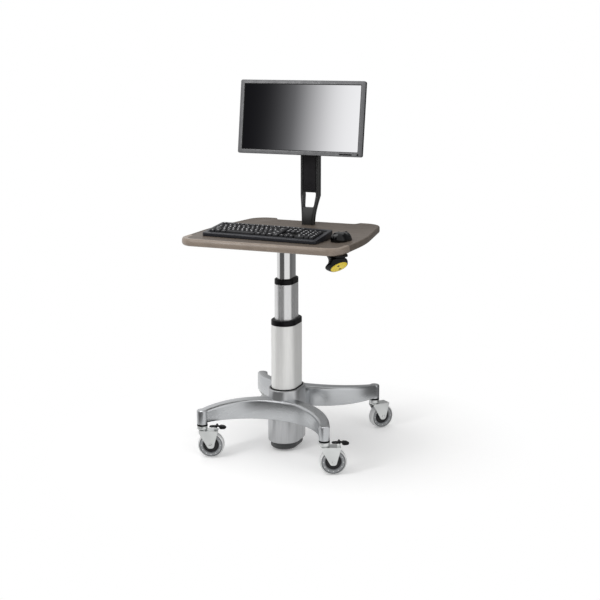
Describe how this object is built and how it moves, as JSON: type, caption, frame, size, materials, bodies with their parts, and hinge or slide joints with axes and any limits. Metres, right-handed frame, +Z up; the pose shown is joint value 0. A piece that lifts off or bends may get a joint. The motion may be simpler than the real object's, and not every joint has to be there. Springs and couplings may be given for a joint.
{
  "type": "mobile computer workstation cart",
  "caption": "Ward cart on casters: crescent base rails, oval telescoping column, brown work surface with keyboard and mouse, release button and a tilting monitor on a post.",
  "frame": {"origin": "on the floor under the middle of the cart's box", "axes": "+Z up, -Y toward the user at the front edge of the work surface, +X to the user's right"},
  "size_m": [0.6586, 0.6746, 1.4063],
  "materials": {
    "cast_aluminium": "cast and brushed, satin",
    "satin_tube": "satin anodised, light",
    "polished_tube": "polished",
    "zinc_plate": "bright zinc plated",
    "steel": "plain steel",
    "black_seal": "matte black",
    "wheel_core": "dark grey",
    "grey_tread": "non-marking light grey",
    "black_plastic": "matte black",
    "black_paint": "black paint",
    "black_gloss": "gloss black",
    "keyboard_plastic": "black with pale legends",
    "taupe_board": "taupe brown, soft sheen",
    "yellow_plastic": "yellow",
    "bezel_plastic": "graphite",
    "screen_panel": "dark panel, soft reflection"
  },
  "bodies": {
    "base": {"front_rail": "cast_aluminium", "rear_rail": "cast_aluminium", "base_hub": "cast_aluminium", "hub_web": "cast_aluminium", "hub_bottom_cap": "black_plastic", "outer_tube": "satin_tube", "outer_collar": "black_plastic", "gas_spring_cylinder": "black_paint", "caster_fl_stem": "steel", "caster_fl_seal": "black_seal", "caster_fr_stem": "steel", "caster_fr_seal": "black_seal", "caster_rl_stem": "steel", "caster_rl_seal": "black_seal", "caster_rr_stem": "steel", "caster_rr_seal": "black_seal"},
    "middle_stage": {"middle_tube": "polished_tube", "middle_collar": "black_plastic"},
    "top_stage": {"inner_tube": "polished_tube", "gas_spring_rod": "steel", "top_bracket": "steel", "work_surface": "taupe_board", "release_housing": "black_gloss", "monitor_post": "black_gloss", "post_panel": "black_plastic", "tilt_bracket": "black_plastic", "tilt_pin": "steel"},
    "release": {"release_button": "yellow_plastic"},
    "keyboard": {"keyboard_case": "keyboard_plastic", "keyboard_keys": "keyboard_plastic"},
    "space_key": {"space_bar": "keyboard_plastic"},
    "mouse": {"mouse_shell": "black_gloss"},
    "mouse_left": {"mouse_left_button": "black_gloss"},
    "mouse_right": {"mouse_right_button": "black_gloss"},
    "mouse_scroll": {"mouse_wheel": "black_plastic"},
    "monitor": {"monitor_mount": "black_plastic", "monitor_back": "black_plastic", "monitor_bezel": "bezel_plastic", "monitor_screen": "screen_panel"},
    "monitor_power": {"monitor_power_button": "black_plastic"},
    "monitor_menu": {"monitor_menu_buttons": "black_plastic"},
    "caster_fl": {"caster_fl_fork": "zinc_plate", "caster_fl_axle": "steel"},
    "wheel_fl": {"caster_fl_core": "wheel_core", "caster_fl_tyre": "grey_tread"},
    "caster_fr": {"caster_fr_fork": "zinc_plate", "caster_fr_axle": "steel"},
    "wheel_fr": {"caster_fr_core": "wheel_core", "caster_fr_tyre": "grey_tread"},
    "caster_rl": {"caster_rl_fork": "zinc_plate", "caster_rl_axle": "steel"},
    "wheel_rl": {"caster_rl_core": "wheel_core", "caster_rl_tyre": "grey_tread"},
    "caster_rr": {"caster_rr_fork": "zinc_plate", "caster_rr_axle": "steel"},
    "wheel_rr": {"caster_rr_core": "wheel_core", "caster_rr_tyre": "grey_tread"},
    "brake_fl": {"caster_fl_brake": "black_plastic"},
    "brake_fr": {"caster_fr_brake": "black_plastic"}
  },
  "joints": [
    {"name": "middle_slide", "type": "slide", "parent": "base", "child": "middle_stage", "axis": [0, 0, 1], "range_m": [-0.1, 0.1]},
    {"name": "inner_slide", "type": "slide", "parent": "middle_stage", "child": "top_stage", "axis": [0, 0, 1], "range_m": [-0.1, 0.1]},
    {"name": "release_push", "type": "slide", "parent": "top_stage", "child": "release", "axis": [-0.5439, 0.3669, 0.7547], "range_m": [0, 0.004], "stiffness_N_per_m": 800, "springref_m": -0.004},
    {"name": "keyboard_lift", "type": "slide", "parent": "top_stage", "child": "keyboard", "axis": [0, 0, 1], "range_m": [0, 0.1]},
    {"name": "space_bar_press", "type": "slide", "parent": "keyboard", "child": "space_key", "axis": [0.0057, 0.1096, -0.994], "range_m": [0, 0.003], "stiffness_N_per_m": 300, "springref_m": -0.002},
    {"name": "mouse_lift", "type": "slide", "parent": "top_stage", "child": "mouse", "axis": [0, 0, 1], "range_m": [0, 0.1]},
    {"name": "mouse_left_press", "type": "hinge", "parent": "mouse", "child": "mouse_left", "pos_m": [0.2468, -0.13783, 0.8665], "axis": [-0.9877, 0.1564, 0], "range_deg": [0, 1.2], "stiffness_Nm_per_rad": 0.5, "springref_deg": -2.29},
    {"name": "mouse_right_press", "type": "hinge", "parent": "mouse", "child": "mouse_right", "pos_m": [0.2468, -0.13783, 0.8665], "axis": [-0.9877, 0.1564, 0], "range_deg": [0, 1.2], "stiffness_Nm_per_rad": 0.5, "springref_deg": -2.29},
    {"name": "mouse_wheel_spin", "type": "hinge", "parent": "mouse", "child": "mouse_scroll", "pos_m": [0.25087, -0.11215, 0.8635], "axis": [0.9877, -0.1564, 0], "continuous": true},
    {"name": "monitor_tilt", "type": "hinge", "parent": "top_stage", "child": "monitor", "pos_m": [-0.00795, 0.14377, 1.2575], "axis": [1, 0, 0], "range_deg": [-12, 13]},
    {"name": "monitor_power_press", "type": "slide", "parent": "monitor", "child": "monitor_power", "axis": [0, 0.99, -0.1409], "range_m": [0, 0.0008], "stiffness_N_per_m": 200, "springref_m": -0.0008},
    {"name": "monitor_menu_press", "type": "slide", "parent": "monitor", "child": "monitor_menu", "axis": [0, 0.99, -0.1409], "range_m": [0, 0.0008], "stiffness_N_per_m": 200, "springref_m": -0.0008},
    {"name": "caster_fl_swivel", "type": "hinge", "parent": "base", "child": "caster_fl", "pos_m": [-0.25635, -0.29743, 0], "axis": [0, 0, 1], "continuous": true},
    {"name": "wheel_fl_spin", "type": "hinge", "parent": "caster_fl", "child": "wheel_fl", "pos_m": [-0.22534, -0.28615, 0.05], "axis": [-0.342, 0.9397, 0], "continuous": true},
    {"name": "caster_fr_swivel", "type": "hinge", "parent": "base", "child": "caster_fr", "pos_m": [0.24045, -0.29743, 0], "axis": [0, 0, 1], "continuous": true},
    {"name": "wheel_fr_spin", "type": "hinge", "parent": "caster_fr", "child": "wheel_fr", "pos_m": [0.27011, -0.28297, 0.05], "axis": [-0.4384, 0.8988, 0], "continuous": true},
    {"name": "caster_rl_swivel", "type": "hinge", "parent": "base", "child": "caster_rl", "pos_m": [-0.25635, 0.26797, 0], "axis": [0, 0, 1], "continuous": true},
    {"name": "wheel_rl_spin", "type": "hinge", "parent": "caster_rl", "child": "wheel_rl", "pos_m": [-0.22932, 0.2869, 0.05], "axis": [-0.5736, 0.8192, 0], "continuous": true},
    {"name": "caster_rr_swivel", "type": "hinge", "parent": "base", "child": "caster_rr", "pos_m": [0.24045, 0.26797, 0], "axis": [0, 0, 1], "continuous": true},
    {"name": "wheel_rr_spin", "type": "hinge", "parent": "caster_rr", "child": "wheel_rr", "pos_m": [0.26166, 0.29325, 0.05], "axis": [-0.766, 0.6428, 0], "continuous": true},
    {"name": "brake_fl_press", "type": "hinge", "parent": "caster_fl", "child": "brake_fl", "pos_m": [-0.20372, -0.27828, 0.1193], "axis": [-0.342, 0.9397, 0], "range_deg": [0, 12]},
    {"name": "brake_fr_press", "type": "hinge", "parent": "caster_fr", "child": "brake_fr", "pos_m": [0.29078, -0.27288, 0.1193], "axis": [-0.4384, 0.8988, 0], "range_deg": [0, 12]}
  ],
  "couplings": [
    {"joint": "middle_slide", "follows": "inner_slide", "ratio": 1}
  ]
}
